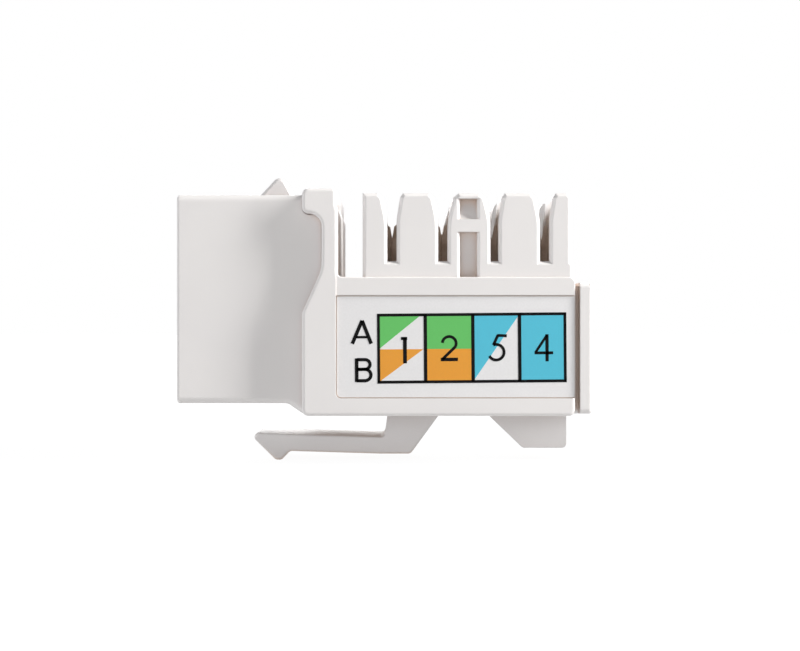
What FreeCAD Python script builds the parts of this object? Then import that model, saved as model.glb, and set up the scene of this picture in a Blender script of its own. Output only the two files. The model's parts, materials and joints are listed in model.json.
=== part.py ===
# Keystone jack: a snap-in eight-way modular socket with a block of punch-down wire slots on top.
#
# +X runs from the face of the socket to the back, +Z is up, towards the wire slots, and Y = 0 is
# the middle plane. The origin is the centre of the socket's face. Millimetres throughout.
#
# The front housing is one moulding: the nose with the plug port, the fixed catch on top, the floor
# that carries the circuit board, the back plate and, underneath, the root of the latch and a foot.
# The punch-down housing drops over it from above: two cheeks, a lintel that stops the panel, and
# two rows of slotted towers. Eight blades stand in the towers and are soldered to the board, and
# eight springs lie in a carrier under the port, soldered to the front of the same board.

import FreeCAD, Part
import math
import os
from FreeCAD import Vector

# Nose, the part that fills the panel's opening
nose_width = 14.5
nose_height = 16.0
nose_corner = 0.5              # rounding of the nose's four long edges
nose_rim = 0.2                 # rounding round the face
stop_depth = 9.65              # from the face to the stop that meets the back of the panel

# Fixed catch on top of the nose
catch_start = 5.75             # from the face to the foot of its ramp
catch_length = 3.0
catch_height = 1.68
catch_width = 6.3
catch_peak = 1.83              # from the foot of the ramp to the peak
catch_crest = 0.55             # flat on the peak, before its rounding
catch_round = 0.5
catch_rim = 0.2                # bevel of its edges

# Plug port
port_width = 11.9
port_height = 6.9              # body of the plug
port_floor_lift = 4.1          # from the bottom of the nose to the contact side of the port
key_width = 6.4                # step for the root of the plug's latch
key_height = 1.5
tab_width = 4.0                # slot in the face for the plug's tab
tab_height = 1.5
face_wall = 1.5                # the plug's latch hooks behind this much wall
latch_room_end = 0.85          # the room for the plug's latch ends this far in front of the stop
port_depth = 10.0
comb_wall = 1.1                # wall with eight slots at the back of the port
comb_height = 3.4
port_lead_in = 0.18

# Punch-down housing
fit_gap = 0.05                 # between the two housings, each side
cheek_wall = 1.0
cheek_rim = 0.25               # rounding of the housing's outer edges
shell_corner = 0.5             # rounding of the cheeks' corners, seen from the side
bridge_corner = 0.3            # rounding of the lintel's top edge at the back
lintel_rise = 0.4              # how far the lintel stands above the nose
lintel_height = 1.88
lintel_overhang = 1.49         # from the stop back to the hollow in the cheek
bridge_wall = 1.11             # wall behind the nose
bridge_step = 0.13             # the lower part of that wall is this much thicker
bridge_step_drop = 1.27        # from the top of the lintel to the start of the thicker part
bridge_step_slope = 0.45       # height over which it thickens
bridge_foot_round = 0.3
cheek_hollow_radius = 1.1
cheek_slope_drop = 3.3         # height of the slope under the hollow
cheek_slope_top_round = 3.0
cheek_slope_foot_round = 0.7
cheek_foot_height = 7.85       # straight front edge below the slope
shell_drop = 0.9               # the cheeks reach this far below the nose
body_height = 10.57            # from the bottom of the cheeks to the deck
deck_wall = 1.0

# Rows of towers
tower_height = 6.4
tower_rim = 0.25               # bevel round the towers' outer faces
tower_inset = 0.35             # from the cheek's face in to the towers' face
row_thickness = 5.6
row_clearance = 2.01           # from the bridge wall back to the first tower
slots_per_row = 4
slot_pitch = 3.88
slot_width = 0.68
slot_depth = 5.19
mouth_front = 0.7              # how far a slot's front side opens out at the top
mouth_back = 0.5               # and its back side
mouth_cap = 0.86               # and the sides next to the tower with the catch for a cap
shoulder_share = 0.52          # part of that opening which lies below the shoulder
shoulder_drop = 0.33           # from the top of a tower down to its shoulder
mouth_flare = 2.05             # height over which the mouth opens
mouth_flare_radius = 5.5
cap_tower_extra = 0.12         # the tower with the catch for a cap is this much longer at the back
front_tower = 1.91             # length of the first tower
back_tower = 1.69              # length of the last one
row_step = 0.17                # the foot of the row is this much longer at the back
row_step_height = 1.0
row_root = 2.47                # the rows reach this far below the deck, round the blades
shell_tail = 0.1               # deck behind the rows

# Catch for a cap, in the middle tower of each row
cap_groove = 1.3
cap_groove_depth = 0.8
cap_bar = 0.98                 # height of the bar across the groove
cap_bar_lift = 3.43            # from the deck to the underside of that bar
cap_rim = 0.43                 # tower left above the upper pocket
cap_bevel = 0.2                # of the groove's upright edges
cap_slope_start = 0.2          # depth of the upper pocket at the bar

# Label recess in each cheek, and the printed label on the near one
recess_depth = 0.25
recess_top_margin = 1.4
recess_bottom_margin = 1.35
recess_corner = 0.4
band_depth = 0.08              # the strip above the recess is set in this much
label_margin = 0.08
label_corner = 0.1
label_thickness = 0.1

# Floor, back plate, latch root and foot
floor_wall = 0.9
floor_lift = 0.1               # the floor is this much above the bottom of the cheeks
side_wall = 0.8
side_wall_top = 0.15           # gap left under the rows' roots
ledge_width = 0.65
tail_room = 1.0                # from the floor up to the board
plate_gap = 0.34
plate_wall = 0.9
plate_corner = 0.4
plate_rim = 0.2
plate_top_drop = 0.43          # the plate ends this far below the deck
plate_bottom_lift = 0.16
ramp_length = 1.15             # slope from the nose down to the floor
ramp_radius = 0.8
foot_set_in = 0.14             # from the back of the cheeks in to the foot's back
foot_length = 3.47
foot_drop = 2.82               # below the cheeks
foot_slope_run = 2.95
foot_width = 6.3
foot_corner = 0.4
foot_heel = 0.35
snap_rib = 0.2
snap_height = 0.45
snap_lift = 0.45

# Latch
latch_width = 6.3
latch_thickness = 1.18
latch_tilt = 1.7               # degrees, up towards the tooth
hinge_set_back = 5.95          # from the stop back to the hinge line
hinge_drop = 2.57              # from the bottom of the cheeks to the hinge line
hinge_gap = 0.03
latch_reach = 10.05
tooth_depth = 0.87
tooth_tip = 0.72               # flat under the tooth
tooth_back = 7.42              # from the hinge line to the back of the tooth
tooth_back_run = 0.33          # slope of the back of the tooth
tooth_nose = 0.25              # height of each of the two bevels at the arm's tip
tooth_round = 0.4
tooth_heel_round = 0.3
tooth_root_round = 0.2
root_lip = 0.27                # from the hinge line back to the root's front
root_lean = 0.35               # the front leans back this much on its way up
root_length = 2.35             # from the hinge line back to the lower corner of the root
root_slope_run = 2.41
root_corner = 0.4
root_tuck = 0.2                # the slope's buried end is this much further back
latch_rim = 0.15               # bevel of the arm's long edges

# Circuit board
board_thickness = 1.2
board_gap = 0.1

# Spring contacts and their carrier
ways = 8
spring_pitch = 1.02
spring_width = 0.42
spring_thickness = 0.3
spring_bend = 0.5
spring_lift = 0.95             # from the board up to the middle of the straight run
spring_front = 2.6             # from the face to the middle of the hairpin
spring_hairpin = 0.92          # height of the hairpin
spring_rise = 2.1              # from the hairpin up to the free end
spring_overlap = 0.55          # the free end reaches this far into the comb
spring_tail = 0.5              # below the board
tail_first = 1.0               # from the front of the board to the first row of tails
tail_row_gap = 1.4
groove_gap = 0.1               # each side of a spring in the comb
carrier_front = 1.3
carrier_gap = 0.05
carrier_top_drop = 0.3         # below the floor of the port
carrier_clamp = 1.1            # length of the roof over the springs at the back
carrier_chamfer = 0.4
carrier_bend_room = 0.6        # the grooves start this far in front of the hairpins' middles
carrier_tail = 1.2             # the carrier reaches this far behind the nose

# Insulation-displacement blades
blade_thickness = 0.4
blade_width = 3.0
blade_turn = 45.0              # degrees between the blade and the row
blade_top_drop = 1.75          # below the top of the towers
blade_vee_height = 0.65        # shallow part of the lead-in
blade_vee_width = 0.84
blade_throat = 1.1             # steep part of the lead-in
blade_slit = 0.28
blade_slit_depth = 3.15
blade_neck = 0.3
blade_stem = 1.6
blade_length = 5.85            # from the top to the neck
blade_gap = 0.03
pin_width = 0.6
pin_point = 0.3                # width and height of the pin's tapered end
hole_gap = 0.06                # between a pin's corners and its hole
hole_sides = 8

# Places that follow from these sizes
nose_half = nose_width / 2
nose_top = nose_height / 2
nose_bottom = -nose_height / 2
shell_half = nose_half + fit_gap + cheek_wall
inner_half = nose_half + fit_gap
latch_room_back = stop_depth - latch_room_end
shell_bottom = nose_bottom - shell_drop
deck_top = shell_bottom + body_height
deck_under = deck_top - deck_wall
lintel_top = nose_top + lintel_rise
lintel_under = lintel_top - lintel_height
bridge_front = stop_depth + lintel_overhang
bridge_back = bridge_front + bridge_wall
nose_back = bridge_front - fit_gap

row_front = bridge_back + row_clearance
slot_first = row_front + front_tower + slot_width / 2
slot_last = slot_first + (slots_per_row - 1) * slot_pitch
cap_tower = slots_per_row // 2  # counted from the front, the first tower being 0
row_back = slot_last + slot_width / 2 + back_tower
row_foot_back = row_back + row_step
shell_back = row_foot_back + shell_tail
tower_top = deck_top + tower_height
tower_face = shell_half - tower_inset
channel_half = tower_face - row_thickness
row_middle = tower_face - row_thickness / 2
row_under = deck_top - row_root
slot_bottom = tower_top - slot_depth

pad_front = shell_back + fit_gap
plate_front = shell_back + plate_gap
plate_back = plate_front + plate_wall
plate_top = deck_top - plate_top_drop
foot_back = shell_back - foot_set_in
foot_front = foot_back - foot_length
floor_under = shell_bottom + floor_lift
floor_top = floor_under + floor_wall
board_under = floor_top + tail_room
board_top = board_under + board_thickness
side_inner = nose_half - side_wall

port_floor = nose_bottom + port_floor_lift
spring_run = board_top + spring_lift
carrier_top = port_floor - carrier_top_drop
carrier_half = port_width / 2 + fit_gap
carrier_back = nose_back + carrier_tail
board_front = carrier_back + board_gap
spring_slot = spring_width + 2 * groove_gap

recess_front = bridge_back
recess_top = deck_top - recess_top_margin
recess_bottom = shell_bottom + recess_bottom_margin

hinge_x = stop_depth + hinge_set_back
hinge_z = shell_bottom - hinge_drop
knuckle = latch_thickness / 2

blade_top = tower_top - blade_top_drop
blade_neck_z = blade_top - blade_length

# Working values
past = 2.0                     # how far a cutter runs past the face it opens
sunk = 0.5                     # how far a cutter or a buried end reaches into its neighbour
corner_share = 0.98            # most of a side that the rounding of its two ends may take
near = 1e-5


def slot_places():
    return [slot_first + i * slot_pitch for i in range(slots_per_row)]


def spring_places():
    return [(i - (ways - 1) / 2) * spring_pitch for i in range(ways)]


# Shapes


def flat_wire(corners, place):
    """Closed outline through (a, b, radius) corners. A radius shrinks where its sides are too short."""
    count = len(corners)
    points = [Vector(a, b, 0) for a, b, _ in corners]
    reach, half_angles = [], []
    for i, (_, _, radius) in enumerate(corners):
        back = (points[i - 1] - points[i]).normalize()
        ahead = (points[(i + 1) % count] - points[i]).normalize()
        half = math.acos(max(-1.0, min(1.0, back.dot(ahead)))) / 2
        half_angles.append(half)
        reach.append(radius / math.tan(half))
    share = [1.0] * count
    for i in range(count):
        j = (i + 1) % count
        room = (points[j] - points[i]).Length
        wanted = reach[i] + reach[j]
        if wanted > corner_share * room:
            share[i] = min(share[i], corner_share * room / wanted)
            share[j] = min(share[j], corner_share * room / wanted)
    edges, starts, ends = [], [], []
    for i in range(count):
        back = (points[i - 1] - points[i]).normalize()
        ahead = (points[(i + 1) % count] - points[i]).normalize()
        t = reach[i] * share[i]
        starts.append(points[i] + back * t)
        ends.append(points[i] + ahead * t)
    for i, (_, _, radius) in enumerate(corners):
        r = radius * share[i]
        if r > 0:
            inward = (starts[i] + ends[i] - points[i] * 2).normalize()
            middle = points[i] + inward * (r / math.sin(half_angles[i]) - r)
            arc = [place(p.x, p.y) for p in (starts[i], middle, ends[i])]
            edges.append(Part.Arc(*arc).toShape())
        after = starts[(i + 1) % count]
        if (after - ends[i]).Length > near:
            line = [place(p.x, p.y) for p in (ends[i], after)]
            edges.append(Part.LineSegment(*line).toShape())
    return Part.Wire(edges)


def side_prism(corners, y_low, y_high):
    """Outline of (x, z, radius) corners, carried along Y."""
    wire = flat_wire(corners, lambda x, z: Vector(x, y_low, z))
    return Part.Face(wire).extrude(Vector(0, y_high - y_low, 0))


def end_prism(corners, x_low, x_high):
    """Outline of (y, z, radius) corners, carried along X."""
    wire = flat_wire(corners, lambda y, z: Vector(x_low, y, z))
    return Part.Face(wire).extrude(Vector(x_high - x_low, 0, 0))


def plan_prism(corners, z_low, z_high):
    """Outline of (x, y, radius) corners, carried along Z."""
    wire = flat_wire(corners, lambda x, y: Vector(x, y, z_low))
    return Part.Face(wire).extrude(Vector(0, 0, z_high - z_low))


def box(x_low, x_high, y_low, y_high, z_low, z_high):
    corner = Vector(x_low, y_low, z_low)
    return Part.makeBox(x_high - x_low, y_high - y_low, z_high - z_low, corner)


def rectangle(a_half, b_low, b_high, radius):
    low = [(-a_half, b_low, radius), (a_half, b_low, radius)]
    high = [(a_half, b_high, radius), (-a_half, b_high, radius)]
    return low + high


def joined(first, *others):
    return first.multiFuse(list(others)).removeSplitter()


def both_sides(shape):
    """The shape and its mirror image across the middle plane."""
    return [shape, shape.mirror(Vector(0, 0, 0), Vector(0, 1, 0))]


def rim_edges(solid, axis, place):
    """Edges of the solid that lie in the plane axis = place."""
    low, high = axis.upper() + "Min", axis.upper() + "Max"
    rim = []
    for edge in solid.Edges:
        bounds = edge.BoundBox
        if abs(getattr(bounds, low) - place) < near and abs(getattr(bounds, high) - place) < near:
            rim.append(edge)
    return rim


def rounded_rim(solid, axis, place, radius):
    return solid.makeFillet(radius, rim_edges(solid, axis, place))


def bevelled_rim(solid, axis, place, size):
    return solid.makeChamfer(size, rim_edges(solid, axis, place))


# Front housing


def port_outline(ease):
    """Section of the plug port at the face, stepped for the plug's latch, and eased outwards."""
    body = port_floor + port_height
    key = body + key_height
    tab = key + tab_height
    half = [
        (port_width / 2 + ease, port_floor - ease),
        (port_width / 2 + ease, body + ease),
        (key_width / 2 + ease, body + ease),
        (key_width / 2 + ease, key + ease),
        (tab_width / 2 + ease, key + ease),
        (tab_width / 2 + ease, tab + ease),
    ]
    return [(y, z, 0) for y, z in half] + [(-y, z, 0) for y, z in reversed(half)]


def plug_port():
    """Everything that is cut from the nose for the plug, the springs and their carrier."""
    body = port_floor + port_height
    latch_top = body + key_height + tab_height
    through = end_prism(port_outline(0), -past, face_wall + sunk)
    lead_in = Part.makeLoft(
        [
            flat_wire(port_outline(port_lead_in), lambda y, z: Vector(0, y, z)),
            flat_wire(port_outline(0), lambda y, z: Vector(port_lead_in, y, z)),
        ],
        True,
        True,
    )
    plug_body = box(face_wall, port_depth, -port_width / 2, port_width / 2, port_floor, body)
    latch_room = box(face_wall, latch_room_back, -key_width / 2, key_width / 2, port_floor, latch_top)
    under = carrier_top - carrier_depth() - carrier_gap
    carrier_bay = box(carrier_front - carrier_gap, nose_back + past, -carrier_half, carrier_half, under,
                      port_floor)
    slots = [
        box(port_depth - past, nose_back + past, y - spring_slot / 2, y + spring_slot / 2, port_floor - sunk,
            port_floor + comb_height)
        for y in spring_places()
    ]
    return through.multiFuse([lead_in, plug_body, latch_room, carrier_bay] + slots)


def nose():
    corners = rectangle(nose_half, nose_bottom, nose_top, nose_corner)
    block = rounded_rim(end_prism(corners, 0, nose_back), "x", 0, nose_rim)
    seat_front = stop_depth - fit_gap
    seat_bottom = lintel_under - fit_gap
    lintel_seat = side_prism(
        [
            (seat_front, seat_bottom, shell_corner + fit_gap),
            (nose_back + past, seat_bottom, 0),
            (nose_back + past, nose_top + past, 0),
            (seat_front, nose_top + past, 0),
        ],
        -nose_half - past,
        nose_half + past,
    )
    return block.cut(lintel_seat)


def catch():
    """Wedge that holds the top edge of the panel's opening: a long ramp in front and a steep back."""
    buried = nose_top - nose_corner
    corners = [
        (catch_start, buried, 0),
        (catch_start + catch_length, buried, 0),
        (catch_start + catch_length, nose_top, 0),
        (catch_start + catch_peak + catch_crest / 2, nose_top + catch_height, catch_round),
        (catch_start + catch_peak - catch_crest / 2, nose_top + catch_height, catch_round),
        (catch_start, nose_top, 0),
    ]
    wedge = side_prism(corners, -catch_width / 2, catch_width / 2)
    for side in (-catch_width / 2, catch_width / 2):
        wedge = bevelled_rim(wedge, "y", side, catch_rim)
    return wedge


def floor():
    """Tray behind the nose: floor, two side walls and the ledges that carry the board."""
    ramp = stop_depth - ramp_length
    buried = nose_bottom + floor_wall
    end = plate_front + plate_wall / 2
    belly = [
        (ramp - ramp_radius, buried, 0),
        (ramp - ramp_radius, nose_bottom, 0),
        (ramp, nose_bottom, ramp_radius),
        (stop_depth, floor_under, ramp_radius),
        (end, floor_under, 0),
        (end, floor_top, 0),
        (nose_back - comb_wall, floor_top, 0),
        (nose_back - comb_wall, buried, 0),
    ]
    tray = side_prism(belly, -nose_half, nose_half)
    lower = [edge for side in (-nose_half, nose_half) for edge in rim_edges(tray, "y", side)
             if edge.BoundBox.ZMax < nose_bottom + near and edge.Length > near]
    tray = tray.makeFillet(nose_corner, lower)
    wall_top = row_under - side_wall_top
    pieces = []
    for start, inner, top in (
        (nose_back - comb_wall, side_inner, wall_top),
        (board_front, side_inner - ledge_width, board_under),
    ):
        pieces += both_sides(box(start, end, inner, nose_half, floor_under + nose_corner, top))
    near_groove, far_groove = both_sides(snap(fit_gap))
    return joined(tray, *pieces).cut(near_groove.fuse(far_groove))


def back_plate():
    """Plate across the end of the tray, with a pad between the cheeks that keeps dust out."""
    corners = rectangle(shell_half, shell_bottom + plate_bottom_lift, plate_top, plate_corner)
    plate = rounded_rim(end_prism(corners, plate_front, plate_back), "x", plate_back, plate_rim)
    pad = box(pad_front, plate_front + plate_wall / 2, -nose_half, nose_half, floor_under + nose_corner,
              plate_top - plate_rim)
    return plate.fuse(pad)


def latch_root():
    """Block under the floor that the latch springs from, hollowed for the latch's round end."""
    buried = floor_under + floor_wall / 2
    lip = hinge_x + root_lip
    corners = [
        (lip + root_lean, buried, 0),
        (lip, hinge_z + knuckle, 0),
        (lip, hinge_z - knuckle, 0),
        (hinge_x + root_length, hinge_z - knuckle, root_corner),
        (hinge_x + root_length + root_slope_run, shell_bottom, 0),
        (hinge_x + root_length + root_slope_run + root_tuck, buried, 0),
    ]
    block = side_prism(corners, -latch_width / 2, latch_width / 2)
    seat = Part.makeCylinder(knuckle + hinge_gap, latch_width + 2 * past,
                             Vector(hinge_x, -latch_width / 2 - past, hinge_z), Vector(0, 1, 0))
    return block.cut(seat)


def foot():
    buried = floor_under + floor_wall / 2
    tip = shell_bottom - foot_drop
    corners = [
        (foot_front - foot_slope_run, buried, 0),
        (foot_front - foot_slope_run, shell_bottom, 0),
        (foot_front, tip, foot_corner),
        (foot_back, tip, foot_heel),
        (foot_back, buried, 0),
    ]
    return side_prism(corners, -foot_width / 2, foot_width / 2)


def front_housing():
    body = joined(nose(), catch(), floor(), back_plate(), latch_root(), foot())
    return body.cut(plug_port()).removeSplitter()


# Latch, which bends at its root


def latch_arm():
    """Springy arm with a tooth. Its round end sits in the root, where the real arm bends."""
    tip = knuckle
    foot_of_tooth = -knuckle - tooth_depth
    corners = [
        (0, -tip, 0),
        (0, tip, 0),
        (latch_reach - tooth_nose / 2, tip, 0),
        (latch_reach, tip - tooth_nose, 0),
        (latch_reach - tooth_nose / 2, tip - 2 * tooth_nose, 0),
        (tooth_back + tooth_back_run + tooth_tip, foot_of_tooth, tooth_round),
        (tooth_back + tooth_back_run, foot_of_tooth, tooth_heel_round),
        (tooth_back, -tip, tooth_root_round),
    ]
    arm = side_prism([(-s, h, r) for s, h, r in corners], -latch_width / 2, latch_width / 2)
    for side in (-latch_width / 2, latch_width / 2):
        arm = bevelled_rim(arm, "y", side, latch_rim)
    end = Part.makeCylinder(knuckle, latch_width, Vector(0, -latch_width / 2, 0), Vector(0, 1, 0))
    arm = joined(arm, end)
    arm.rotate(Vector(0, 0, 0), Vector(0, 1, 0), latch_tilt)
    arm.translate(Vector(hinge_x, 0, hinge_z))
    return arm


# Punch-down housing


def cover_outline():
    """Side view of the cheeks: the hooked front edge, the lintel, the bridge wall and the deck."""
    slope_foot = shell_bottom + cheek_foot_height
    step_top = lintel_top - bridge_step_drop
    return [
        (stop_depth, lintel_top, shell_corner),
        (bridge_back, lintel_top, bridge_corner),
        (bridge_back, step_top, 0),
        (bridge_back + bridge_step, step_top - bridge_step_slope, 0),
        (bridge_back + bridge_step, deck_top, bridge_foot_round),
        (shell_back, deck_top, shell_corner),
        (shell_back, shell_bottom, shell_corner),
        (stop_depth, shell_bottom, shell_corner),
        (stop_depth, slope_foot, cheek_slope_foot_round),
        (bridge_front, slope_foot + cheek_slope_drop, cheek_slope_top_round),
        (bridge_front, lintel_under, cheek_hollow_radius),
        (stop_depth, lintel_under, shell_corner),
    ]


def mouth(wall, reach, side):
    """One side of a slot's mouth, from the top of the tower down to the slot's wall."""
    return [
        (wall + side * reach, tower_top, 0),
        (wall + side * reach * shoulder_share, tower_top - shoulder_drop, 0),
        (wall, tower_top - mouth_flare, mouth_flare_radius),
    ]


def row_outline():
    """Side view of one row: five towers with a flared slot between each two."""
    corners = [(row_front, deck_top - sunk, 0), (row_front, tower_top, 0)]
    for i, x in enumerate(slot_places()):
        front = mouth_cap if i == cap_tower else mouth_front
        back = mouth_cap if i == cap_tower - 1 else mouth_back
        low = x - slot_width / 2 + (cap_tower_extra if i == cap_tower else 0)
        high = x + slot_width / 2
        corners += mouth(low, front, -1)
        corners += [(low, slot_bottom, 0), (high, slot_bottom, 0)]
        corners += mouth(high, back, 1)[::-1]
    step_top = deck_top + row_step_height
    corners += [
        (row_back - tower_rim, tower_top, 0),
        (row_back, tower_top - tower_rim, 0),
        (row_back, step_top + row_step, 0),
        (row_foot_back, step_top, 0),
        (row_foot_back, deck_top - sunk, 0),
    ]
    return corners


def cap_catch():
    """Groove with a bar across it, and a sloping pocket above the bar, in the middle tower."""
    middle = (slot_first + slot_last) / 2
    bar_under = deck_top + cap_bar_lift
    bar_top = bar_under + cap_bar
    pocket_top = tower_top - cap_rim
    back = tower_face - cap_groove_depth
    groove = box(middle - cap_groove / 2, middle + cap_groove / 2, back, tower_face + past, deck_top, bar_under)
    slope = [
        (tower_face + past, bar_top, 0),
        (tower_face - cap_slope_start, bar_top, 0),
        (back, pocket_top, 0),
        (tower_face + past, pocket_top, 0),
    ]
    pocket = end_prism(slope, middle - cap_groove / 2, middle + cap_groove / 2)
    bevels = [
        (middle - cap_groove / 2, tower_face - cap_bevel, 0),
        (middle + cap_groove / 2, tower_face - cap_bevel, 0),
        (middle + cap_groove / 2 + 2 * cap_bevel, tower_face + cap_bevel, 0),
        (middle - cap_groove / 2 - 2 * cap_bevel, tower_face + cap_bevel, 0),
    ]
    return groove.multiFuse([pocket, plan_prism(bevels, deck_top, bar_under),
                             plan_prism(bevels, bar_top, pocket_top)])


def blade_pocket(x):
    """Upright pocket for one blade, open below, turned to the row as the blade is."""
    length = blade_width + 2 * blade_gap
    depth = blade_thickness + 2 * blade_gap
    bottom = row_under - past
    pocket = box(-length / 2, length / 2, -depth / 2, depth / 2, bottom, blade_top + blade_gap)
    pocket.rotate(Vector(0, 0, 0), Vector(0, 0, 1), blade_turn)
    pocket.translate(Vector(x, row_middle, 0))
    return pocket


def row():
    """One row of towers with its root below the deck, on the +Y side."""
    comb = side_prism(row_outline(), channel_half, tower_face)
    comb = bevelled_rim(comb, "y", tower_face, tower_rim)
    root = box(row_front, row_foot_back, channel_half, inner_half, row_under, deck_top)
    return comb.fuse(root).cut(cap_catch())


def snap(ease):
    """Rib inside a cheek that clips into a groove in the floor's edge; ease makes the groove larger."""
    low = shell_bottom + snap_lift - ease
    high = low + snap_height + 2 * ease
    root = inner_half + cheek_wall / 2
    corners = [
        (root, low, 0),
        (inner_half - snap_rib - ease, low + snap_height / 2, 0),
        (inner_half - snap_rib - ease, high, 0),
        (root, high, 0),
    ]
    return end_prism(corners, row_front - ease, row_back + ease)


def label_recess():
    """Shallow recess in a cheek, open at the back, with a shallower strip above it."""
    recess = side_prism(
        [
            (recess_front, recess_bottom, recess_corner),
            (shell_back + past, recess_bottom, 0),
            (shell_back + past, recess_top, 0),
            (recess_front, recess_top, label_corner),
        ],
        shell_half - recess_depth,
        shell_half + past,
    )
    strip = box(recess_front, shell_back + past, shell_half - band_depth, shell_half + past, recess_top,
                deck_top + past)
    return recess.fuse(strip)


def idc_housing():
    cover = side_prism(cover_outline(), -shell_half, shell_half)
    for side in (-shell_half, shell_half):
        cover = rounded_rim(cover, "y", side, cheek_rim)
    nose_bay = box(stop_depth - past, bridge_front, -inner_half, inner_half, shell_bottom - past, lintel_under)
    board_bay = box(bridge_front - past, shell_back + past, -inner_half, inner_half, shell_bottom - past,
                    deck_under)
    cover = cover.cut(nose_bay.multiFuse([board_bay] + both_sides(label_recess())))
    housing = joined(cover, *both_sides(row()), *both_sides(snap(0)))
    pockets = []
    for x in slot_places():
        pockets += both_sides(blade_pocket(x))
    return housing.cut(pockets[0].multiFuse(pockets[1:]))


# Inside


def carrier_depth():
    """The carrier reaches down to the same level as the underside of the board."""
    return carrier_top - board_under + carrier_gap


def contact_carrier():
    """Block under the port with a groove for each spring, roofed over at the back."""
    under = carrier_top - carrier_depth()
    corners = [
        (carrier_front, under, 0),
        (carrier_back, under, 0),
        (carrier_back, carrier_top, 0),
        (carrier_front + carrier_chamfer, carrier_top, 0),
        (carrier_front, carrier_top - carrier_chamfer, 0),
    ]
    half = carrier_half - fit_gap
    block = side_prism(corners, -half, half)
    groove_floor = spring_run - spring_thickness / 2
    roof = carrier_back - carrier_clamp
    groove_start = spring_front - carrier_bend_room
    grooves = []
    for y in spring_places():
        low, high = y - spring_width / 2, y + spring_width / 2
        grooves.append(box(groove_start, roof, low, high, groove_floor, carrier_top + past))
        grooves.append(box(roof - past, carrier_back + past, low, high, groove_floor,
                           groove_floor + spring_thickness))
    return block.cut(grooves[0].multiFuse(grooves[1:]))


def tail_place(way):
    """Springs are soldered in two rows, turn about."""
    return board_front + tail_first + (way % 2) * tail_row_gap


def drill(x, y, radius):
    """Cutter for one hole of the board. Few sides are enough, and the pin inside still clears them."""
    turn = 2 * math.pi / hole_sides
    across = radius / math.cos(turn / 2)
    corners = [
        (x + across * math.cos(i * turn), y + across * math.sin(i * turn), 0)
        for i in range(hole_sides)
    ]
    return plan_prism(corners, board_under - past, board_top + past)


def circuit_board():
    half = side_inner - board_gap
    back = pad_front - board_gap
    board = box(board_front, back, -half, half, board_under, board_top)
    tail_corner = math.hypot(spring_width, spring_thickness) / 2
    pin_corner = math.hypot(pin_width, blade_thickness) / 2
    holes = [(tail_place(i), y, tail_corner) for i, y in enumerate(spring_places())]
    holes += [(x, side * row_middle, pin_corner) for x in slot_places() for side in (-1, 1)]
    drills = [drill(x, y, corner + hole_gap) for x, y, corner in holes]
    return board.cut(drills[0].multiFuse(drills[1:]))


def strip(path, thickness, y_low, y_high):
    """Flat strip bent along a path of (x, z, bend radius) points in the XZ plane."""
    left, right = [], []
    last = len(path) - 1
    for i, (x, z, radius) in enumerate(path):
        here = Vector(x, z, 0)
        back = here - Vector(*path[i - 1][:2], 0) if i else None
        ahead = Vector(*path[i + 1][:2], 0) - here if i < last else None
        back = (back or ahead).normalize()
        ahead = (ahead or back).normalize()
        turn = back.cross(ahead).z
        across = Vector(-back.y - ahead.y, back.x + ahead.x, 0).normalize()
        half_turn = math.acos(max(-1.0, min(1.0, back.dot(ahead)))) / 2
        shift = across * (thickness / 2 / math.cos(half_turn))
        inner, outer = radius - thickness / 2, radius + thickness / 2
        left_radius, right_radius = (inner, outer) if turn > 0 else (outer, inner)
        if i in (0, last):
            left_radius = right_radius = 0
        left.append((here.x + shift.x, here.y + shift.y, left_radius))
        right.append((here.x - shift.x, here.y - shift.y, right_radius))
    return side_prism(left + right[::-1], y_low, y_high)


def jack_contact(way):
    """Spring wire: tail through the board, run forward in the carrier, hairpin, rise to the comb."""
    y = spring_places()[way]
    tail = tail_place(way)
    top = spring_run + spring_hairpin
    path = [
        (tail, board_under - spring_tail, 0),
        (tail, spring_run, spring_bend),
        (spring_front, spring_run, spring_bend),
        (spring_front, top, spring_bend),
        (port_depth + spring_overlap, top + spring_rise, 0),
    ]
    return strip(path, spring_thickness, y - spring_width / 2, y + spring_width / 2)


def idc_contact(place, side):
    """Forked blade: two-stage lead-in, slit for the wire, stem and pin. It stands turned to the row."""
    throat = blade_top - blade_vee_height - blade_throat
    pin_tip = board_under - spring_tail
    half = [
        (pin_width / 2 - pin_point / 2, pin_tip, 0),
        (pin_width / 2, pin_tip + pin_point, 0),
        (pin_width / 2, board_top, 0),
        (blade_stem / 2, board_top, 0),
        (blade_stem / 2, blade_neck_z, 0),
        (blade_width / 2, blade_neck_z + blade_neck, 0),
        (blade_width / 2, blade_top, 0),
        (blade_vee_width / 2, blade_top - blade_vee_height, 0),
        (blade_slit / 2, throat, 0),
        (blade_slit / 2, throat - blade_slit_depth, 0),
    ]
    corners = half + [(-u, z, r) for u, z, r in reversed(half)]
    blade = side_prism(corners, -blade_thickness / 2, blade_thickness / 2)
    blade.rotate(Vector(0, 0, 0), Vector(0, 0, 1), side * blade_turn)
    blade.translate(Vector(slot_places()[place], side * row_middle, 0))
    return blade


def wiring_label():
    """Printed label stuck in the near cheek's recess."""
    face = -shell_half + recess_depth
    corners = [
        (recess_front + label_margin, recess_bottom + label_margin, recess_corner - label_margin),
        (shell_back - label_margin, recess_bottom + label_margin, label_corner),
        (shell_back - label_margin, recess_top - label_margin, label_corner),
        (recess_front + label_margin, recess_top - label_margin, label_corner),
    ]
    return side_prism(corners, face - label_thickness, face)


# Which wire each slot takes, from the front: the near row, then the far one
near_row = (1, 2, 5, 4)
far_row = (3, 6, 7, 8)

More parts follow.
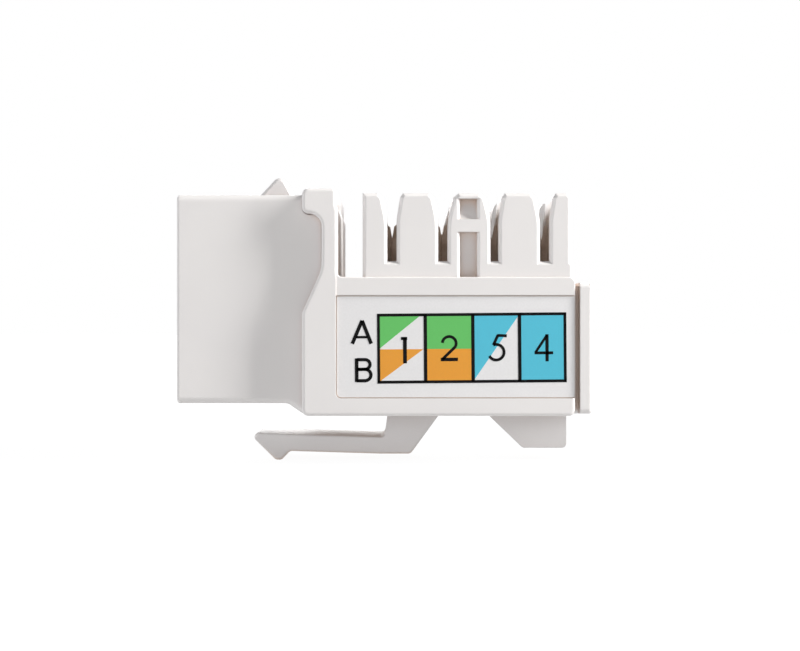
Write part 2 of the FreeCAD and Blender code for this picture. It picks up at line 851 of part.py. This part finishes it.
parts = {
    "front_housing": front_housing(),
    "latch_arm": latch_arm(),
    "idc_housing": idc_housing(),
    "contact_carrier": contact_carrier(),
    "circuit_board": circuit_board(),
    "wiring_label": wiring_label(),
}
for way in range(ways):
    parts[f"jack_contact_{way + 1}"] = jack_contact(way)
for side, numbers in ((-1, near_row), (1, far_row)):
    for place, number in enumerate(numbers):
        parts[f"idc_contact_{number}"] = idc_contact(place, side)

os.makedirs("parts", exist_ok=True)
for name, shape in parts.items():
    shape.exportStep(f"parts/{name}.step")
    print(f"{name}: {len(shape.Solids)} solid, {shape.Volume:.2f} mm3, valid {shape.isValid()}")
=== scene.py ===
import json
import math
import bpy
import numpy as np
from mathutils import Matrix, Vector


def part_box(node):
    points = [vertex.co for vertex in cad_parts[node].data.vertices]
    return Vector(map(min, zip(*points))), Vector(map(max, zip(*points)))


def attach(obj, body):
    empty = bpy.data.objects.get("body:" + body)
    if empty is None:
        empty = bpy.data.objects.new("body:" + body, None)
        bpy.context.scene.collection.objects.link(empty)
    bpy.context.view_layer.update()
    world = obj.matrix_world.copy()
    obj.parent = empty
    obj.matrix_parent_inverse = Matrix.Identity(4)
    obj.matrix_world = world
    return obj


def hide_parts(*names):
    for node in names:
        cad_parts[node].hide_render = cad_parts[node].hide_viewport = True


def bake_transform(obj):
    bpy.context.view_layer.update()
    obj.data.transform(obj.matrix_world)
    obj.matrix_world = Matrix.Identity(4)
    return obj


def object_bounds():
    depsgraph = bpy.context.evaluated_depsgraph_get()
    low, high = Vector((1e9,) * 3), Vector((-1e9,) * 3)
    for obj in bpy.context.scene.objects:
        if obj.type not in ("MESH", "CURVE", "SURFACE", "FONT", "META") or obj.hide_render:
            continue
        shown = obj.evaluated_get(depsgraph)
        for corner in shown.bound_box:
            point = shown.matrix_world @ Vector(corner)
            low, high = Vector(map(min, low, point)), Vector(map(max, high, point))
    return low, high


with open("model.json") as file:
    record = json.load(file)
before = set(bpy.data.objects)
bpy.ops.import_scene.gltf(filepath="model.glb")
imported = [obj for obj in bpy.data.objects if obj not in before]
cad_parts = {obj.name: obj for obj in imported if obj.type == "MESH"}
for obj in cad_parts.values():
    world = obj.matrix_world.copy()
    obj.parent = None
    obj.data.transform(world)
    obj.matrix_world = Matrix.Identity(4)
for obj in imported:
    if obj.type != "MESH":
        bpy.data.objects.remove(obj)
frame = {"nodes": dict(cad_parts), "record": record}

# Lengths in the dictionaries are millimetres and angles are degrees. The colours of finishes are
# screen values from 0 to 255.
mm = 0.001
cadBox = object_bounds()
nodes = frame["nodes"]
hinge = np.array(frame["record"]["behaviour"]["joints"][0]["pos_m"]) / mm
labelLow = np.array(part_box("wiring_label")[0]) / mm
print("frame loaded, hinge at", hinge)


def linear(red, green, blue):  # screen colour, 0 to 255, to the linear value that a shader takes
    def one(v):
        v /= 255
        return v / 12.92 if v <= 0.04045 else ((v + 0.055) / 1.055) ** 2.4
    return (one(red), one(green), one(blue), 1)


def newMaterial(name):
    made = bpy.data.materials.new(name)
    made.use_nodes = True
    return made, made.node_tree, made.node_tree.nodes["Principled BSDF"]


def addNode(tree, kind, **settings):
    node = tree.nodes.new(kind)
    for key, value in settings.items():
        setattr(node, key, value)
    return node


def mottle(tree, size, detail):  # noise on object coordinates, with grains of about that size
    place = addNode(tree, "ShaderNodeTexCoord")
    noise = addNode(tree, "ShaderNodeTexNoise")
    noise.inputs["Scale"].default_value = 1 / (size * mm)
    noise.inputs["Detail"].default_value = detail
    tree.links.new(place.outputs["Object"], noise.inputs["Vector"])
    return noise


def ramp(tree, source, stops):  # stops are (position, linear colour)
    node = addNode(tree, "ShaderNodeValToRGB")
    band = node.color_ramp
    while len(band.elements) < len(stops):
        band.elements.new(0.5)
    for element, (position, color) in zip(band.elements, stops):
        element.position, element.color = position, color
    tree.links.new(source, node.inputs["Fac"])
    return node


# Each of the three values is a colour, a number or another node's socket
def blendColors(tree, amount, first, second, mode="MIX"):
    node = addNode(tree, "ShaderNodeMix", data_type="RGBA", blend_type=mode)
    for socket, value in ((0, amount), (6, first), (7, second)):  # the mix's factor and two colours
        if hasattr(value, "is_output"):
            tree.links.new(value, node.inputs[socket])
        else:
            node.inputs[socket].default_value = value
    return node.outputs[2]  # the mix of colours


# In each finish, color is the plastic's own colour and the other three colours are painted shade, laid
# on in corners and slots.
plastic = {
    "housing": {"color": (236, 233, 231), "shade": (228, 224, 223), "warmPaintedShade": (225, 212, 203),
                "deepPaintedShade": (224, 206, 192), "rough": 0.42},
    "carrier": {"color": (228, 224, 216), "shade": (220, 214, 206), "warmPaintedShade": (217, 204, 193),
                "deepPaintedShade": (216, 198, 183), "rough": 0.5},
    "paintedShadeAtSky": {"deepPaintedShade": 0.0, "warmPaintedShade": 0.33, "shade": 0.6, "color": 0.85}, "paintedShadeReach": 3.2,
    "gloss": 0.42, "edgeRadius": 0.1, "grain": 0.22, "grainDepth": 0.0035, "grainShare": 0.6,
    "cloud": 6.0, "cloudRange": (0.3, 0.7), "cloudTint": (0.97, 0.97, 0.975, 1),
}


# Satin moulded plastic with painted shade: the base colour is darkened from white to beige as a point
# sees less of the sky. Corners, slots and the faces under overhangs get painted shade in place of the
# shade and the bounced light that fall there. The shares of sky at which each painted shade colour is
# reached are listed in the plastic table.
def mouldedPlastic(name, look):
    made, tree, shader = newMaterial(name)
    shader.inputs["Roughness"].default_value = look["rough"]
    shader.inputs["Specular IOR Level"].default_value = plastic["gloss"]
    # Painted shade: within the reach below, ambient occlusion darkens the base colour towards beige.
    shade = addNode(tree, "ShaderNodeAmbientOcclusion", samples=8)
    shade.inputs["Distance"].default_value = plastic["paintedShadeReach"] * mm
    tints = [(share, linear(*look[key])) for key, share in plastic["paintedShadeAtSky"].items()]
    tint = ramp(tree, shade.outputs["AO"], tints)
    cloud = mottle(tree, plastic["cloud"], detail=2)
    darkest, clear = plastic["cloudRange"]
    patch = ramp(tree, cloud.outputs["Fac"], [(darkest, plastic["cloudTint"]), (clear, (1, 1, 1, 1))])
    color = blendColors(tree, 1.0, tint.outputs["Color"], patch.outputs["Color"], "MULTIPLY")
    tree.links.new(color, shader.inputs["Base Color"])
    soft = addNode(tree, "ShaderNodeBevel", samples=6)
    soft.inputs["Radius"].default_value = plastic["edgeRadius"] * mm
    grain = mottle(tree, plastic["grain"], detail=3)
    bump = addNode(tree, "ShaderNodeBump")
    bump.inputs["Distance"].default_value = plastic["grainDepth"] * mm
    bump.inputs["Strength"].default_value = plastic["grainShare"]
    tree.links.new(grain.outputs["Fac"], bump.inputs["Height"])
    tree.links.new(soft.outputs["Normal"], bump.inputs["Normal"])
    tree.links.new(bump.outputs["Normal"], shader.inputs["Normal"])
    return made


metals = {
    "gold": {"color": (231, 192, 116), "dull": (196, 150, 82), "rough": 0.24, "metal": 1.0},
    "tin": {"color": (238, 222, 208), "dull": (214, 196, 180), "rough": 0.5, "metal": 0.12},
    "patch": 0.9, "patchRange": (0.35, 0.62), "rougher": 0.14,
}


# Plated metal: the plating is duller in cloudy patches, and slightly rougher there
def platedMetal(name, look):
    made, tree, shader = newMaterial(name)
    shader.inputs["Metallic"].default_value = look["metal"]
    cloud = mottle(tree, metals["patch"], detail=4)
    dullest, bright = metals["patchRange"]
    tints = [(dullest, linear(*look["dull"])), (bright, linear(*look["color"]))]
    tint = ramp(tree, cloud.outputs["Fac"], tints)
    tree.links.new(tint.outputs["Color"], shader.inputs["Base Color"])
    spread = addNode(tree, "ShaderNodeMapRange")
    spread.inputs["To Min"].default_value = look["rough"] + metals["rougher"]
    spread.inputs["To Max"].default_value = look["rough"]
    tree.links.new(cloud.outputs["Fac"], spread.inputs["Value"])
    tree.links.new(spread.outputs["Result"], shader.inputs["Roughness"])
    return made


board = {"mask": (24, 92, 58), "weave": (34, 112, 70), "cell": 0.5, "cloud": 1.5, "rough": 0.35}


# Solder mask over glass cloth: a faint weave of lighter threads shows through
def boardMask():
    made, tree, shader = newMaterial("solderMask")
    shader.inputs["Roughness"].default_value = board["rough"]
    place = addNode(tree, "ShaderNodeTexCoord")
    weave = addNode(tree, "ShaderNodeTexChecker")
    weave.inputs["Scale"].default_value = 1 / (board["cell"] * mm)
    weave.inputs["Color1"].default_value = linear(*board["mask"])
    weave.inputs["Color2"].default_value = linear(*board["weave"])
    tree.links.new(place.outputs["Object"], weave.inputs["Vector"])
    cloud = mottle(tree, board["cloud"], detail=3)
    color = blendColors(tree, cloud.outputs["Fac"], weave.outputs["Color"], linear(*board["mask"]))
    tree.links.new(color, shader.inputs["Base Color"])
    return made


inks = {
    "film": {"color": (237, 236, 236), "rough": 0.3},
    "black": {"color": (10, 10, 11), "rough": 0.5},
    "green": {"color": (108, 198, 108), "rough": 0.4},
    "orange": {"color": (236, 162, 66), "rough": 0.4},
    "blue": {"color": (92, 196, 220), "rough": 0.4},
    "gloss": 0.06, "speckle": 0.16, "speckleRange": (0.35, 0.7), "thinShare": 0.96, "thinLift": 0.006,
}


# Printed film: the ink's density varies a little in fine speckles
def printedFilm(name, look):
    made, tree, shader = newMaterial(name)
    shader.inputs["Roughness"].default_value = look["rough"]
    shader.inputs["Specular IOR Level"].default_value = inks["gloss"]
    full = linear(*look["color"])
    thin = tuple(inks["thinShare"] * v + inks["thinLift"] for v in full[:3]) + (1,)
    speckle = mottle(tree, inks["speckle"], detail=3)
    dense, sparse = inks["speckleRange"]
    tint = ramp(tree, speckle.outputs["Fac"], [(dense, full), (sparse, thin)])
    tree.links.new(tint.outputs["Color"], shader.inputs["Base Color"])
    return made


housingWhite = mouldedPlastic("housingPlastic", plastic["housing"])
carrierWhite = mouldedPlastic("carrierPlastic", plastic["carrier"])
goldPlate = platedMetal("goldPlating", metals["gold"])
tinPlate = platedMetal("tinPlating", metals["tin"])
solderMask = boardMask()
labelFilm = printedFilm("labelFilm", inks["film"])
finishOf = {"housing": housingWhite, "carrier": carrierWhite, "board": solderMask, "label": labelFilm,
            "gold": goldPlate, "blade": tinPlate}
slotOf = {part["node"]: part["material_slot"] for part in frame["record"]["subparts"]}
for name, obj in nodes.items():
    obj.data.materials.clear()
    obj.data.materials.append(finishOf[slotOf[name]])
print("finishes on", len(nodes), "CAD pieces")


def newObject(name, data):
    obj = bpy.data.objects.new(name, data)
    bpy.context.scene.collection.objects.link(obj)
    return obj


def putInScene(name, verts, faces, finish, smoothAngle=None):  # verts in millimetres
    mesh = bpy.data.meshes.new(name)
    mesh.from_pydata((np.asarray(verts) * mm).tolist(), [], faces)
    if smoothAngle:
        mesh.polygons.foreach_set("use_smooth", np.ones(len(mesh.polygons), dtype=bool))
        mesh.set_sharp_from_angle(angle=math.radians(smoothAngle))
    mesh.materials.append(finish)
    return newObject(name, mesh)


def arc(center, radius, start, end, count=13):  # points at equal angles along a circle
    angle = np.radians(np.linspace(start, end, count))
    return np.stack([center[0] + radius * np.cos(angle), center[1] + radius * np.sin(angle)], axis=1)


# Closed outline through (a, b, radius) corners. Each rounded corner is a circle that touches both
# sides: its centre lies on the corner's bisector at radius / sin(half the angle). Straight sides are
# divided into steps no longer than the given one.
def roundedOutline(corners, step, perArc=7):
    spots = np.array([c[:2] for c in corners], dtype=float)
    pieces = []
    for i, (_, _, radius) in enumerate(corners):
        back = spots[i - 1] - spots[i]
        ahead = spots[(i + 1) % len(spots)] - spots[i]
        back, ahead = back / np.linalg.norm(back), ahead / np.linalg.norm(ahead)
        half = math.acos(np.clip(back @ ahead, -1, 1)) / 2
        if radius == 0:
            pieces.append(spots[i][None])
            continue
        middle = spots[i] + (back + ahead) / np.linalg.norm(back + ahead) * radius / math.sin(half)
        first = spots[i] + back * radius / math.tan(half) - middle
        turn = (math.pi - 2 * half) * np.sign(back[1] * ahead[0] - back[0] * ahead[1])
        start = math.atan2(first[1], first[0])
        pieces.append(arc(middle, radius, math.degrees(start), math.degrees(start + turn), perArc))
    bends = [p for piece in pieces for p in piece]
    dense = []
    for i, p in enumerate(bends):
        q = bends[(i + 1) % len(bends)]
        parts = max(1, math.ceil(np.linalg.norm(q - p) / step))
        dense.append(p + np.linspace(0, 1, parts, endpoint=False)[:, None] * (q - p))
    return np.concatenate(dense)


# Square to the chord between a point's two neighbours, for an outline that turns left
def outwardNormals(outline):
    chord = np.roll(outline, -1, axis=0) - np.roll(outline, 1, axis=0)
    normal = np.stack([chord[:, 1], -chord[:, 0]], axis=1)
    return normal / np.linalg.norm(normal, axis=1, keepdims=True)


def leftTurning(outline):  # turned round where its signed area is negative
    a, b = outline[:, 0], outline[:, 1]
    area = np.sum(a * np.roll(b, -1) - np.roll(a, -1) * b)
    return outline if area > 0 else outline[::-1]


# Surface of two parameters, the place round an XZ outline and the station across Y. At each station
# the outline shrinks by edge * (1 - cos t) while y moves out by edge * sin t, which rounds both rims.
# The outermost stations step inwards on the flat ends, so that the ends shade flat.
def roundedSlab(outline, halfWidth, edge, steps=4, endStep=0.04):
    outline = leftTurning(outline)
    inward = -outwardNormals(outline)
    t = np.linspace(math.pi / 2, 0, steps + 1)
    half = np.concatenate([[halfWidth], halfWidth - edge + edge * np.sin(t)])
    inset = np.concatenate([[edge + endStep], edge * (1 - np.cos(t))])
    y = np.concatenate([-half, half[::-1]])
    shrink = np.concatenate([inset, inset[::-1]])
    rings = outline[None] + inward[None] * shrink[:, None, None]
    stations, around = rings.shape[:2]
    across = np.broadcast_to(y[:, None], (stations, around))
    verts = np.stack([rings[..., 0], across, rings[..., 1]], axis=-1)
    grid = np.arange(stations * around).reshape(stations, around)
    low, high = grid[:-1], grid[1:]
    quads = np.stack([low, high, np.roll(high, -1, axis=1), np.roll(low, -1, axis=1)], axis=-1)
    faces = quads.reshape(-1, 4).tolist() + [grid[0].tolist(), grid[-1][::-1].tolist()]
    return verts.reshape(-1, 3), faces


# The latch is one springy piece, from the root under the floor to the tooth. Over and under are the
# arm's faces above and below the hinge line, reach and toothBack lie along the arm, and the root's
# places are from the hinge. Buried is how far the root goes on inside the housing, and the skin is how
# far the piece stands outside the root that it covers. The bend's ends are along X from the hinge.
latch = {
    "halfWidth": 3.15, "over": 0.59, "under": 0.72, "tilt": 1.7, "reach": 10.05, "edge": 0.18,
    "tipHeight": 0.42, "tipRound": 0.27,
    "toothBack": 7.2, "toothDepth": 0.72, "toothFlat": 0.46, "toothRun": 0.66,
    "toothFrontRound": 0.4, "toothBackRound": 0.36, "toothFootRound": 0.4, "bellyRound": 4.0,
    "rootFront": 0.27, "rootLean": 0.35, "rootBack": 2.35, "rootSlope": 2.41, "rootTop": 2.57,
    "buried": 0.6, "topRound": 0.26, "innerRound": 0.35, "heelRound": 0.4,
    "skin": 0.012, "step": 0.3, "smoothAngle": 40, "bendFrom": 0.5, "bendTo": -3.0,
}


def makeLatch(p):
    over, under = p["over"], p["under"]
    front, back = hinge[0] + p["rootFront"], hinge[0] + p["rootBack"]
    tilt = math.radians(p["tilt"])

    def onArm(along, up, radius):  # place on the tilted arm, measured from the hinge line
        return (hinge[0] - along * math.cos(tilt) + up * math.sin(tilt),
                hinge[2] + along * math.sin(tilt) + up * math.cos(tilt), radius)

    top = hinge[2] + p["rootTop"] + p["buried"]
    lean = p["rootLean"] * (p["rootTop"] + p["buried"]) / p["rootTop"]
    slope = p["rootSlope"] / (p["rootTop"] + under) * (p["rootTop"] + under + p["buried"])
    toothTip = -under - p["toothDepth"]
    corners = [
        (front + lean, top, p["topRound"]),
        (front, hinge[2] + over, p["innerRound"]),
        onArm(p["reach"], over, p["tipRound"]),
        onArm(p["reach"], over - p["tipHeight"], p["tipRound"]),
        onArm(p["toothBack"] + p["toothRun"] + p["toothFlat"], toothTip, p["toothFrontRound"]),
        onArm(p["toothBack"] + p["toothRun"], toothTip, p["toothBackRound"]),
        onArm(p["toothBack"], -under, p["toothFootRound"]),
        onArm(0, -under, p["bellyRound"]),
        (back, hinge[2] - under, p["heelRound"]),
        (back + slope, top, p["topRound"]),
    ]
    outline = leftTurning(roundedOutline(corners, p["step"]))
    outline = outline + outwardNormals(outline) * p["skin"]
    verts, faces = roundedSlab(outline, p["halfWidth"] + p["skin"], p["edge"])
    piece = putInScene("latch", verts, faces, housingWhite, p["smoothAngle"])
    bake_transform(piece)
    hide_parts("latch_arm")


makeLatch(latch)
print("latch made")


# Places on the label are measured from its lower left corner. Digits are (middle, foot, height,
# stroke), from the frame's lower left corner, and letters are (middle or stem, foot), from the
# label's. Turn is the slight slant of the print.
labelPrint = {
    "frameLeft": 3.19, "frameBottom": 1.115, "fields": (3.56, 3.61, 3.55, 3.45), "height": 5.095,
    "line": 0.22, "divider": 0.26, "split": 2.49, "bareEdge": 0.3, "turn": 0.45,
    "inkStep": 0.004, "thickness": 0.008,
    "digits": {"1": (2.0, 1.42, 2.0, 0.29), "2": (5.37, 1.56, 1.98, 0.22),
               "5": (9.08, 1.5, 2.09, 0.22), "4": (12.55, 1.485, 2.06, 0.22)},
    "letters": {"A": (1.91, 4.01), "B": (1.51, 1.14)}, "letterHeight": 1.8, "letterStroke": 0.25,
}
frontFace = labelLow[1]  # the printed side


# Flat ribbon: the path moved half a stroke to each side, square to the chord between its neighbours
def ribbon(path, width):
    path = np.asarray(path, dtype=float)
    run = np.gradient(path, axis=0)
    side = np.stack([-run[:, 1], run[:, 0]], axis=1)
    side *= width / 2 / np.linalg.norm(side, axis=1, keepdims=True)
    return np.concatenate([path + side, (path - side)[::-1]])


# Closed flat plates: each outline, turned with the print, is given a front and a back, which are
# joined round the edge
def platesPiece(name, outlines, lift, finish):
    verts, faces, count = [], [], 0
    front = frontFace - lift - labelPrint["thickness"]
    back = frontFace - lift
    turn = math.radians(labelPrint["turn"])
    for outline in outlines:
        outline = leftTurning(np.asarray(outline, dtype=float))
        a = outline[:, 0] * math.cos(turn) - outline[:, 1] * math.sin(turn)
        b = outline[:, 0] * math.sin(turn) + outline[:, 1] * math.cos(turn)
        x, z, n = labelLow[0] + a, labelLow[2] + b, len(outline)
        verts += [np.stack([x, np.full(n, y), z], axis=1) for y in (front, back)]
        ring = np.arange(n) + count
        after = np.roll(ring, -1)
        faces += [ring.tolist(), (ring + n)[::-1].tolist()]
        faces += np.stack([ring, ring + n, after + n, after], axis=1).tolist()
        count += 2 * n
    piece = putInScene(name, np.concatenate(verts), faces, finish)
    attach(piece, "jack")


def segment(a0, b0, a1, b1):
    return np.array([[a0, b0], [a1, b1]])


# Strokes of a sign one unit high, from the foot of its middle line, or of its stem for B, each with
# its share of the full width
def strokes(sign):
    if sign == "1":
        return [(1, segment(0, 0, 0, 1)), (0.8, segment(-0.15, 0.945, 0.09, 0.945))]
    if sign == "2":
        bowl = arc((0, 0.68), 0.265, 175, -30, 15)
        return [(1, np.concatenate([bowl, [[-0.26, 0.08]]])), (1.2, segment(-0.33, 0.065, 0.33, 0.065))]
    if sign == "5":
        bowl = arc((-0.07, 0.34), 0.285, 112, -152, 19)
        return [(1, bowl), (1, segment(-0.17, 0.6, 0.0, 0.965)), (1, segment(-0.02, 0.95, 0.32, 0.935))]
    if sign == "4":
        return [(1.15, segment(0.12, 0, 0.12, 1)), (0.9, segment(0.12, 0.97, -0.3, 0.34)),
                (1, segment(-0.34, 0.315, 0.345, 0.315))]
    if sign == "A":
        return [(1.1, segment(0.02, 1, -0.4, 0.02)), (1.1, segment(0.02, 1, 0.4, 0.02)),
                (0.75, segment(-0.26, 0.3, 0.26, 0.3))]
    waist = [[0, 0.535]]
    upper = [segment(0, 0.945, 0.30, 0.945), arc((0.36, 0.74), 0.205, 90, -90, 11), waist]
    lower = [waist, arc((0.36, 0.295), 0.24, 90, -90, 11), segment(0.30, 0.055, 0, 0.055)]
    return [(1.1, segment(0, 0, 0, 1)), (1, np.concatenate(upper)), (1, np.concatenate(lower))]


def placed(sign, middle, foot, height, stroke):  # ribbons along the strokes, scaled and moved
    return [ribbon(path * height + [middle, foot], stroke * share) for share, path in strokes(sign)]


# Four fields side by side, parted across at the split: each coat is a rectangle between two edges, or
# the upper left half of one. The black lines and signs lie on top.
def makePrint(p):
    left, low = p["frameLeft"], p["frameBottom"]
    edges = left + np.concatenate([[0], np.cumsum(p["fields"])])
    high, split, right = low + p["height"], low + p["split"], edges[-1]

    def area(i, bottom, top):
        return [(edges[i], bottom), (edges[i + 1], bottom), (edges[i + 1], top), (edges[i], top)]

    def upperLeft(i, bottom, top, bare=0):
        return [(edges[i], bottom), (edges[i + 1] - bare, top), (edges[i], top)]

    coats = {
        "green": [upperLeft(0, split, high, p["bareEdge"]), area(1, split, high)],
        "orange": [upperLeft(0, low, split, p["bareEdge"] / 2), area(1, low, split)],
        "blue": [upperLeft(2, low, high), area(3, low, high)],
    }
    for name, outlines in coats.items():
        platesPiece(name + "Ink", outlines, 0, printedFilm(name + "Ink", inks[name]))
    half = p["line"] / 2
    lines = [ribbon(segment(left - half, b, right + half, b), p["line"]) for b in (low, high)]
    lines += [ribbon(segment(a, low, a, high), p["line"]) for a in edges[[0, -1]]]
    lines += [ribbon(segment(a, low, a, high), p["divider"]) for a in edges[1:-1]]
    for sign, (middle, foot, height, stroke) in p["digits"].items():
        lines += placed(sign, left + middle, low + foot, height, stroke)
    for sign, (middle, foot) in p["letters"].items():
        lines += placed(sign, middle, foot, p["letterHeight"], p["letterStroke"])
    platesPiece("blackInk", lines, p["inkStep"], printedFilm("blackInk", inks["black"]))


makePrint(labelPrint)
print("label printed")


# Square on to the labelled cheek, at a short distance, so the far parts look smaller
camera = {"standOff": 113.0, "alongX": 17.115, "height": -2.02, "focal": 67.0, "sensor": 36.0,
          "nearest": 5, "farthest": 5000}


def makeCamera(c):
    data = bpy.data.cameras.new("camera")
    data.lens, data.sensor_width = c["focal"], c["sensor"]
    data.clip_start, data.clip_end = c["nearest"] * mm, c["farthest"] * mm
    obj = newObject("camera", data)
    obj.location = (c["alongX"] * mm, cadBox[0].y - c["standOff"] * mm, c["height"] * mm)
    obj.rotation_euler = (math.pi / 2, 0, 0)
    bpy.context.scene.camera = obj


# Direction is towards the lamp from the object's middle. The key grazes the labelled cheek from above
# and behind, so each edge that stands proud throws a soft shadow towards the plug's face. The far
# lamp lights the side turned away from the camera. Colours are the lamps' shares of red, green and
# blue.
lamps = {
    "key": {"direction": (0.86, -0.2, 0.46), "distance": 250, "size": (34, 180), "watts": 1.25,
            "color": (1, 0.99, 0.98)},
    "left": {"direction": (-0.95, -0.22, 0.2), "distance": 300, "size": (200, 90), "watts": 0.3,
             "color": (0.95, 0.96, 1)},
    "front": {"direction": (-0.12, -0.98, 0.15), "distance": 300, "size": (240, 100), "watts": 0.12,
              "color": (1, 1, 1)},
    "far": {"direction": (-0.15, 0.95, 0.3), "distance": 300, "size": (240, 100), "watts": 0.35,
            "color": (1, 1, 1)},
}
studio = {"ambient": 0.1, "floorSize": 3000, "floorColor": (160, 160, 161), "floorRough": 0.9,
          "floorGlow": 1.25, "floorFill": 0.3, "floorLit": 0.25, "shadowFrom": 40, "shadowTo": 130}


# Net stretched between the key and the object. It ends short of the rays that graze the labelled
# cheek, and lets only a share of the key's light pass to the faces turned to the back.
net = {"alongX": 60, "nearEdge": -12.5, "farEdge": 120, "height": 200, "passes": 0.35}


def makeNet(n):
    made, tree, _ = newMaterial("net")
    clear = addNode(tree, "ShaderNodeBsdfTransparent")
    clear.inputs["Color"].default_value = (n["passes"], n["passes"], n["passes"], 1)
    tree.links.new(clear.outputs["BSDF"], tree.nodes["Material Output"].inputs["Surface"])
    x, foot, top = n["alongX"], cadBox[0].z / mm, n["height"]
    near, far = n["nearEdge"], n["farEdge"]
    corners = [(x, near, foot), (x, far, foot), (x, far, top), (x, near, top)]
    piece = putInScene("net", corners, [[0, 1, 2, 3]], made)
    for sight in ("camera", "diffuse", "glossy", "transmission"):
        setattr(piece, "visible_" + sight, False)


def makeLamp(name, lamp):
    middle = (cadBox[0] + cadBox[1]) / 2
    data = bpy.data.lights.new(name, "AREA")
    data.shape, data.energy, data.color = "RECTANGLE", lamp["watts"], lamp["color"]
    data.size, data.size_y = lamp["size"][0] * mm, lamp["size"][1] * mm
    obj = newObject(name, data)
    towards = Vector(lamp["direction"]).normalized()
    obj.location = middle + towards * lamp["distance"] * mm
    obj.rotation_euler = towards.to_track_quat("Z", "Y").to_euler()


def lookedAt(tree):  # 1 for rays from the camera, a mirror or glass, and 0 for the rest
    path = addNode(tree, "ShaderNodeLightPath")
    seen = path.outputs["Is Camera Ray"]
    for ray in ("Is Glossy Ray", "Is Transmission Ray"):
        either = addNode(tree, "ShaderNodeMath", operation="MAXIMUM")
        tree.links.new(seen, either.inputs[0])
        tree.links.new(path.outputs[ray], either.inputs[1])
        seen = either.outputs[0]
    return seen


# White where it is looked at, and a soft light for everything else
def makeWorld(ambient):
    world = bpy.data.worlds.new("studio")
    bpy.context.scene.world = world
    world.use_nodes = True
    tree = world.node_tree
    strength = addNode(tree, "ShaderNodeMapRange")
    strength.inputs["To Min"].default_value = ambient
    tree.links.new(lookedAt(tree), strength.inputs["Value"])
    tree.links.new(strength.outputs["Result"], tree.nodes["Background"].inputs["Strength"])
    tree.nodes["Background"].inputs["Color"].default_value = (1, 1, 1, 1)


# The floor glows like a light table, white where it is looked at and weaker for other rays. The mix's
# factor is the glow's share. Near the object floorLit is the share of the lit surface, which shows
# the soft shadow, and it falls to nothing between shadowFrom and shadowTo from the floor's middle.
def makeFloor(s):
    made, tree, shader = newMaterial("studioFloor")
    shader.inputs["Base Color"].default_value = linear(*s["floorColor"])
    shader.inputs["Roughness"].default_value = s["floorRough"]
    glow = addNode(tree, "ShaderNodeEmission")
    glow.inputs["Strength"].default_value = s["floorGlow"]
    place = addNode(tree, "ShaderNodeTexCoord")
    away = addNode(tree, "ShaderNodeVectorMath", operation="LENGTH")
    tree.links.new(place.outputs["Object"], away.inputs[0])
    share = addNode(tree, "ShaderNodeMapRange")
    share.inputs["From Min"].default_value = s["shadowFrom"] * mm
    share.inputs["From Max"].default_value = s["shadowTo"] * mm
    share.inputs["To Min"].default_value = 1 - s["floorLit"]
    tree.links.new(away.outputs["Value"], share.inputs["Value"])
    looked = addNode(tree, "ShaderNodeMapRange")
    looked.inputs["To Min"].default_value = s["floorFill"]
    tree.links.new(lookedAt(tree), looked.inputs["Value"])
    tree.links.new(share.outputs["Result"], looked.inputs["To Max"])
    mix = addNode(tree, "ShaderNodeMixShader")
    tree.links.new(looked.outputs["Result"], mix.inputs["Fac"])
    tree.links.new(shader.outputs["BSDF"], mix.inputs[1])
    tree.links.new(glow.outputs["Emission"], mix.inputs[2])
    tree.links.new(mix.outputs["Shader"], tree.nodes["Material Output"].inputs["Surface"])
    half, level = s["floorSize"] / 2, cadBox[0].z / mm
    corners = [(-half, -half, level), (half, -half, level), (half, half, level), (-half, half, level)]
    putInScene("floor", corners, [[0, 1, 2, 3]], made)


makeCamera(camera)
for name, lamp in lamps.items():
    makeLamp(name, lamp)
makeNet(net)
makeWorld(studio["ambient"])
makeFloor(studio)
bpy.context.scene.view_settings.view_transform = "Standard"
print("studio ready")
